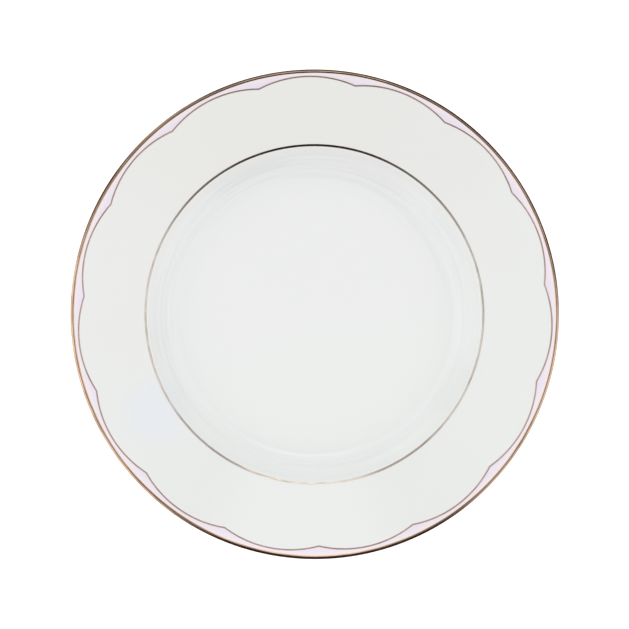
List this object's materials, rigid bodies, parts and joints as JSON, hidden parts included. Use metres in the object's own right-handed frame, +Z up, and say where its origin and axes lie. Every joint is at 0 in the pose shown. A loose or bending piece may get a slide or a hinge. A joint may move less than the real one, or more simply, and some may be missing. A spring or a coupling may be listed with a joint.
{
  "type": "dinner plate",
  "caption": "Round china dinner plate with a broad flat rim, a shallow well, a foot ring, a scalloped lilac border and gold lines.",
  "frame": {"origin": "on the plate's axis, in the plane of the surface that the foot ring stands on", "axes": "+Z up along the plate's axis; +X and +Y across the plate, with +X the right and +Y the far side as it is set in front of a diner"},
  "size_m": [0.27, 0.27, 0.025],
  "materials": {
    "glazed_porcelain": "clear glossy glaze over ivory-white clay, with a bare matt band on the foot ring",
    "antique_gold": "fired and burnished gold with a slight rose cast",
    "lilac_enamel": "glossy fired enamel, pale lilac"
  },
  "bodies": {
    "root": {"porcelain_body": "glazed_porcelain", "edge_gold_band": "antique_gold", "lilac_enamel_border": "lilac_enamel", "scalloped_gold_line": "antique_gold", "verge_gold_line": "antique_gold"}
  },
  "joints": []
}
